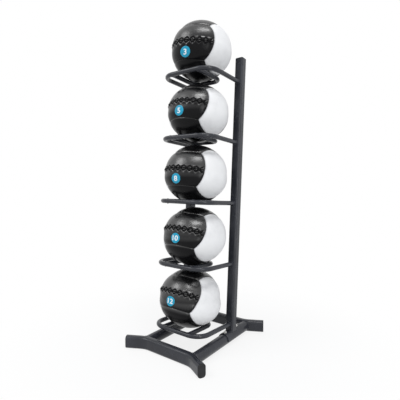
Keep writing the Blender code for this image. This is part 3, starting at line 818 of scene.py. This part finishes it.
def lumps(directions, tier):
    """Soft uneven filling under the leather: a few random waves over the ball."""
    random = np.random.default_rng(LUMP_SEED + tier)
    height = np.zeros(len(directions))
    for _ in range(LUMP_WAVES):
        axis = random.normal(size=3)
        pace = random.uniform(*LUMP_PACES)
        axis *= pace / np.linalg.norm(axis)
        height += np.sin(directions @ axis + random.uniform(0.0, 2 * math.pi)) * (LUMP_SWELL / pace)
    return LUMP_HEIGHT * height - LUMP_SINK


def cradle_lines():
    """Middle lines of the tubes about a ball's middle: rails, rear run, and the run it rolls out over."""
    far = 2 * BALL_RADIUS
    half_run = CRADLE_HALF_WIDTH - CRADLE_BEND_RADIUS
    crossed = HOOP_REACH - CRADLE_REAR - CRADLE_HALF_WIDTH - ROLL_OUT
    lines = [
        ((-CRADLE_HALF_WIDTH, -far), (-CRADLE_HALF_WIDTH, far)),
        ((CRADLE_HALF_WIDTH, -far), (CRADLE_HALF_WIDTH, far)),
        ((-half_run, CRADLE_HALF_WIDTH), (half_run, CRADLE_HALF_WIDTH)),
        ((-CRADLE_HALF_WIDTH, -crossed), (CRADLE_HALF_WIDTH, -crossed)),
    ]
    return [[np.array((*end, -CRADLE_DROP)) for end in line] for line in lines]


def settled(points, tier):
    """Flattens a ball's top, lets it hang over to one side, and presses it in over the cradle's tubes."""
    depth = np.clip(-points[:, 2] / BALL_RADIUS, 0.0, 1.0)
    points[:, :2] *= (BALL_WIDENING[tier - 1] + BALL_FULLNESS[tier - 1] * np.sin(math.pi * depth))[:, None]
    points[:, 2] *= np.where(points[:, 2] > 0.0, BALL_CROWNS[tier - 1], BALL_SAG)
    free = np.clip((points[:, 2] + SLUMP_DEPTH) / SLUMP_DEPTH, 0.0, 1.0)
    points[:, 0] += BALL_SLUMPS[tier - 1] * free**2 * (3.0 - 2.0 * free)
    for start, end in cradle_lines():
        away = from_line(points, start, end)
        distance = np.linalg.norm(away, axis=1)
        eased = CRADLE_REST + DENT_SOFTNESS * np.log1p(np.exp((distance - CRADLE_REST) / DENT_SOFTNESS))
        points = points + away * ((eased / distance) - 1.0)[:, None]
    return points


def on_ball(tier, directions, heights):
    """World points of the leather at directions in the ball's own frame, raised by heights."""
    directions = np.asarray(directions, float)
    aside = np.arctan2(directions[:, 0], -directions[:, 1])
    pull = np.radians(np.where(aside < 0.0, *BALL_STRETCHES[tier - 1]))
    aside += pull * np.sin(aside)
    level = np.hypot(directions[:, 0], directions[:, 1])
    pulled = np.stack([level * np.sin(aside), -level * np.cos(aside), directions[:, 2]], axis=1)
    points = pulled * (BALL_RADIUS + heights + lumps(directions, tier))[:, None]
    points = settled(placed(points, ball_turn(tier)), tier)
    return placed(points, UPRIGHTS @ Matrix.Translation(ball_seat(tier)))


def spread(half_length, spacing, fine=None):
    """Positions from -1 to 1 over a panel: close together at its seams and, where fine, about its middle."""
    edge = half_length - np.array(SEAM_POINTS[::-1])
    if fine:
        reach, fine_spacing = fine
        middle = np.linspace(0.0, reach, round(reach / fine_spacing) + 1)
        rest = np.linspace(reach, edge[0], round((edge[0] - reach) / spacing) + 1)[1:]
        half = np.concatenate([middle, rest])
    else:
        half = np.linspace(0.0, edge[0], round(edge[0] / spacing) + 1)
    half = np.concatenate([half[:-1], edge]) / half_length
    return np.concatenate([-half[:0:-1], half])


def pucker(along, distance):
    return PUCKER_HEIGHT * np.cos(2 * math.pi * along / PUCKER_LENGTH) * np.exp(-distance / PUCKER_REACH)


def seam_shape(first, first_along, second, second_along):
    """Height of the leather near a panel's seams, from the distances to them and the places along them."""
    nearest = np.minimum(first, second)
    height = -SEAM_DEPTH * np.exp(-nearest / SEAM_FALL)
    height -= PILLOW_DEPTH * (np.exp(-first / PILLOW_FALL) + np.exp(-second / PILLOW_FALL))
    return height - pucker(first_along, first) - pucker(second_along, second), nearest


def backed(points, faces, rows, columns, tier):
    """Turns a panel's edge inwards at its seams and closes its hidden back."""
    grid = np.arange(rows * columns).reshape(rows, columns)
    rim = np.concatenate([grid[0, :-1], grid[:-1, -1], grid[-1, :0:-1], grid[:0:-1, 0]])
    centre = placed([(0.0, 0.0, 0.0)], UPRIGHTS @ Matrix.Translation(ball_seat(tier)))[0]
    flange = points[rim] + unit(centre - points[rim]) * FLANGE_DEPTH
    middle = centre + (points.mean(axis=0) - centre) * BACK_SHARE
    count = len(rim)
    start = len(points)
    quads, fan = [], []
    for step in range(count):
        after = (step + 1) % count
        quads.append([int(rim[step]), int(rim[after]), start + after, start + step])
        fan.append([start + step, start + after, start + count])
    return np.concatenate([points, flange, [middle]]), faces.tolist() + quads + fan


def lace_lines():
    """Corner points of both laces along the leather, to the right of and above the front panel's middle."""
    stations = np.linspace(-LACE_HALF_ANGLE, LACE_HALF_ANGLE, LACE_LEGS + 1) * BALL_RADIUS
    swing = LACE_HALF_HEIGHT * np.array([1 if step % 2 else -1 for step in range(LACE_LEGS + 1)])
    return [np.stack([stations, SLIT_HEIGHT + sign * swing], axis=1) for sign in (1, -1)]


def distance_to_lace(along, up):
    """Distance from points of the front panel to the lacing."""
    points = np.stack([along, up], axis=1)
    nearest = np.full(len(points), 1.0)
    for line in lace_lines():
        for start, end in zip(line, line[1:]):
            nearest = np.minimum(nearest, np.linalg.norm(from_line(points, start, end), axis=1))
    return nearest


def faded(distance, reach, softness):
    """1 inside a reach and 0 beyond it, with a soft step between."""
    return 1.0 / (1.0 + np.exp((distance - reach) / softness))


def ridge(distance, half_width):
    return np.exp(-((distance / half_width) ** 2))


def laced_shape(turn, tilt):
    """Height of the leather about the laced slit: rolled lips, grooves under the laces and bulges between."""
    along, up = turn * BALL_RADIUS, tilt * BALL_RADIUS
    off = np.abs(up - SLIT_HEIGHT)
    lace = distance_to_lace(along, up)
    slit = LIP_HEIGHT * ridge(off - LIP_PLACE, LIP_HALF_WIDTH) - SLIT_DEPTH * ridge(off, SLIT_HALF_WIDTH)
    pressed = -PRESSED_DEPTH * ridge(lace, PRESSED_HALF_WIDTH)
    bulge = BULGE_HEIGHT * (1.0 - ridge(lace, BULGE_FALL)) * faded(off, BULGE_REACH, BULGE_FADE)
    return (slit + bulge + pressed) * faded(np.abs(along), LACED_REACH, LACED_FADE)


def leather_panel(tier, side):
    """A panel of a ball's cover. Returns its points, its faces and how far each point is from a seam."""
    outward, bulging, between = (np.array(axis, float) for axis in PANELS[side])
    laced = side == "front"
    half_rise = math.asin(SEAM_PLANE)
    rise = spread(half_rise * BALL_RADIUS, PANEL_SPACING, (SLIT_REACH, SLIT_SPACING) if laced else None)
    reach = spread(math.acos(SEAM_PLANE) * BALL_RADIUS, LACED_SPACING if laced else PANEL_SPACING)
    tilt, share = (grid.ravel() for grid in np.meshgrid(rise * half_rise, reach, indexing="ij"))
    turn = share * np.arccos(SEAM_PLANE / np.cos(tilt))
    facing, aside, up = np.cos(turn) * np.cos(tilt), np.sin(turn) * np.cos(tilt), np.sin(tilt)
    directions = facing[:, None] * outward + aside[:, None] * bulging + up[:, None] * between
    first = BALL_RADIUS * np.maximum(np.arcsin(facing) - half_rise, 0.0)
    second = BALL_RADIUS * np.maximum(half_rise - np.abs(tilt), 0.0)
    height, nearest = seam_shape(first, up * BALL_RADIUS, second, aside * BALL_RADIUS)
    if laced:
        height += laced_shape(turn, tilt)
    points = on_ball(tier, directions, height)
    rows, columns = len(rise), len(reach)
    points, faces = backed(points, grid_faces(rows, columns), rows, columns, tier)
    return points, faces, np.concatenate([nearest, np.zeros(len(points) - len(nearest))])


def front_directions(turn, tilt):
    """Directions on the front panel, turned to the right and tilted upwards."""
    return np.stack([np.sin(turn) * np.cos(tilt), -np.cos(turn) * np.cos(tilt), np.sin(tilt)], axis=1)


def add_lacing(tier, cord):
    """The crossed laces over the slit. They dive into an eyelet at each end of a leg."""
    share = np.arange(LACE_LEGS * LACE_STEPS + 1) / LACE_STEPS
    angles = angles_round(LACE_SIDES)[None, :, None]
    width, height = (LACE_RADIUS * stretch for stretch in LACE_STRETCHES)
    cords, lengths = [], []
    for line, crossing_lift in zip(lace_lines(), CROSSING_LIFTS):
        turn, tilt = (np.interp(share, np.arange(len(line)), places) / BALL_RADIUS for places in line.T)
        lift = LACE_RISE * np.sqrt(np.abs(np.sin(share * math.pi))) - EYELET_DEPTH
        lift += crossing_lift * ridge(share % 1.0 - 0.5, CROSSING_REACH)
        centre = on_ball(tier, front_directions(turn, tilt), lift)
        above = on_ball(tier, front_directions(turn, tilt), lift + 0.01) - centre
        ahead = unit(np.gradient(centre, axis=0))
        side = unit(np.cross(ahead, above))
        above = np.cross(side, ahead)
        rings = width * np.cos(angles) * side[:, None] + height * np.sin(angles) * above[:, None]
        cords.append(skin(centre[:, None] + rings))
        lengths.append(lengths_along(centre))
    lengths = np.concatenate(lengths)
    around = np.tile(angles.ravel() * LACE_STRANDS, len(lengths))
    attributes = {"along": np.repeat(lengths, LACE_SIDES), "around": around}
    ball = f"ball_{tier}"
    add_piece(f"{ball}_lacing", joined(cords), cord, ball, [f"{ball}_lace"], attributes=attributes)


def digits(tier):
    """Flat points and faces of a ball's number, about its middle, fine enough to be bent over the ball."""
    curve = bpy.data.curves.new(f"ball_{tier}_digits", "FONT")
    curve.body = BALL_NUMBERS[tier - 1]
    curve.align_x, curve.align_y = "CENTER", "CENTER"
    curve.size = DIGIT_HEIGHT / DIGIT_SHARE
    curve.offset = DIGIT_BOLDNESS
    curve.extrude = DIGIT_DEPTH
    source = linked(f"ball_{tier}_digits", curve)
    bpy.context.view_layer.update()
    mesh = bpy.data.meshes.new_from_object(source.evaluated_get(bpy.context.evaluated_depsgraph_get()))
    bpy.data.objects.remove(source)
    work = bmesh.new()
    work.from_mesh(mesh)
    bmesh.ops.remove_doubles(work, verts=work.verts, dist=1e-6)
    bmesh.ops.triangulate(work, faces=work.faces)
    long_edges = [edge for edge in work.edges if edge.calc_length() > DIGIT_LONGEST_EDGE]
    bmesh.ops.subdivide_edges(work, edges=long_edges, cuts=3)
    points = np.array([vertex.co for vertex in work.verts])
    faces = [[vertex.index for vertex in face.verts] for face in work.faces]
    work.free()
    points[:, :2] -= (points[:, :2].min(axis=0) + points[:, :2].max(axis=0)) / 2
    return points, faces


def add_label(tier, film, ink):
    """A round film label under the lacing, with a plain number."""
    ball = f"ball_{tier}"
    middle_turn = math.radians(LABEL_TURNS[tier - 1])

    def on_label(right, up, lift):
        turn = middle_turn + right / BALL_RADIUS / math.cos(LABEL_TILT)
        return on_ball(tier, front_directions(turn, LABEL_TILT + up / BALL_RADIUS), lift)

    right, up = circle(LABEL_RADIUS, RIM_SIDES).T
    rings = [on_label(share * right, share * up, np.full(len(up), lift)) for share, lift in LABEL_PROFILE]
    add_piece(f"{ball}_label", skin(rings), film, ball)
    flat, faces = digits(tier)
    points = on_label(DIGIT_WIDENING * flat[:, 0], flat[:, 1], DIGIT_LIFT + flat[:, 2])
    add_piece(f"{ball}_number", (points, faces), ink, ball)


def add_ball(tier, black, white, cord, film, ink):
    """A soft ball: a black belt of four panels, two white side panels, the lacing and the number label."""
    name = f"ball_{tier}"
    belt = joined([leather_panel(tier, side)[:2] for side in ("front", "top", "back", "bottom")])
    stands_for = [f"{name}_black_cover", f"{name}_filling"]
    add_piece(f"{name}_belt", belt, black, name, stands_for)
    for side in SIDES:
        points, faces, edge = leather_panel(tier, side)
        node, attributes = f"{name}_white_panel_{side}", {"edge": edge}
        panel = add_piece(f"{name}_side_{side}", (points, faces), white, name, [node], attributes=attributes)
    add_lacing(tier, cord)
    add_label(tier, film, ink)


# Studio


def add_camera():
    camera = bpy.data.cameras.new("camera")
    camera.sensor_width = SENSOR_WIDTH
    camera.lens = PHOTO_FOCAL_LENGTH / PHOTO_SIZE * SENSOR_WIDTH
    camera.clip_start, camera.clip_end = 0.05, 60.0
    holder = linked("camera", camera)
    holder.location = CAMERA_PLACE
    holder.rotation_euler = (math.pi / 2 + CAMERA_PITCH, 0.0, CAMERA_TURN)
    bpy.context.scene.camera = holder


def add_softbox(name, place, target, size, power):
    light = bpy.data.lights.new(name, "AREA")
    light.shape = "RECTANGLE"
    light.size, light.size_y = size
    light.energy = power
    holder = linked(name, light)
    holder.location = place
    holder.rotation_euler = (Vector(target) - Vector(place)).to_track_quat("-Z", "Y").to_euler()


def seen_directly(tree):
    """1 for rays that show the background: from the camera, in a reflection or through glass."""
    path = add_node(tree, "ShaderNodeLightPath").outputs
    total = path["Is Camera Ray"]
    for name in ("Is Glossy Ray", "Is Transmission Ray"):
        total = add_node(tree, "ShaderNodeMath", {0: total, 1: path[name]}, operation="MAXIMUM").outputs[0]
    return total


def add_world():
    """A soft pale room. It is plain white where it is seen."""
    world = bpy.data.worlds.new("studio")
    world.use_nodes = True
    bpy.context.scene.world = world
    tree = world.node_tree
    light = tree.nodes["Background"]
    light.inputs["Color"].default_value = ROOM_COLOUR
    light.inputs["Strength"].default_value = ROOM_LIGHT
    backdrop = add_node(tree, "ShaderNodeBackground", {"Color": WHITE, "Strength": 1.0})
    inputs = {0: seen_directly(tree), 1: light.outputs[0], 2: backdrop.outputs[0]}
    mix = add_node(tree, "ShaderNodeMixShader", inputs)
    tree.links.new(mix.outputs[0], tree.nodes["World Output"].inputs["Surface"])


def add_floor():
    """A pale floor that fades into the white room a few steps away. It keeps the shadow."""
    mesh = bpy.data.meshes.new("floor")
    corners = [(-1, -1), (1, -1), (1, 1), (-1, 1)]
    points = [(x * FLOOR_HALF_SIDE, y * FLOOR_HALF_SIDE, FLOOR_HEIGHT) for x, y in corners]
    mesh.from_pydata(points, [], [(0, 1, 2, 3)])
    floor = linked("floor", mesh)
    finish = Finish("pale_floor", None, FLOOR_SOCKETS)
    glow = finish.node("ShaderNodeEmission", {"Color": WHITE, "Strength": 1.0})
    distance = finish.node("ShaderNodeVectorMath", {0: finish.place}, operation="LENGTH").outputs["Value"]
    start, end = FLOOR_FADE
    inputs = {"Value": distance, "From Min": start, "From Max": end, "To Min": FLOOR_LEAST_WHITE}
    fade = finish.node("ShaderNodeMapRange", inputs, interpolation_type="SMOOTHSTEP").outputs[0]
    share = finish.maths("MULTIPLY", fade, seen_directly(finish.tree))
    mix = finish.node("ShaderNodeMixShader", {0: share, 1: finish.shader.outputs[0], 2: glow.outputs[0]})
    finish.tree.links.new(mix.outputs[0], finish.tree.nodes["Material Output"].inputs["Surface"])
    mesh.materials.append(finish.material)


def build():
    coat, plastic, zinc = powder_coat(), cap_plastic(), zinc_steel()
    feet = {}
    for name, outward in {"front_foot": -1, "rear_foot": 1}.items():
        feet[outward] = add_foot(name, outward, coat, plastic)
    beads = []
    for side, sign in SIDES.items():
        beads += add_side_bar(side, sign, feet, coat)
        add_saddle(side, sign, coat)
        add_bolts(side, sign, zinc)
        beads.append(add_post(side, sign, coat, plastic))
    add_piece("base_welds", joined(beads), coat)
    for tier in range(1, TIERS + 1):
        add_tier(tier, coat)
    black, white, cord = black_leather(), white_leather(), lace_cord()
    film = label_print("cyan_label_film", ((0.002, 0.13, 0.22), (0.004, 0.31, 0.49)))
    ink = label_print("white_number_ink", ((0.35, 0.45, 0.50), (0.85, 0.86, 0.87)))
    for tier in range(1, TIERS + 1):
        add_ball(tier, black, white, cord, film, ink)


add_camera()
build()
add_world()
add_floor()
for name, setting in SOFTBOXES.items():
    add_softbox(name, *setting)
bpy.context.scene.view_settings.view_transform = "Standard"
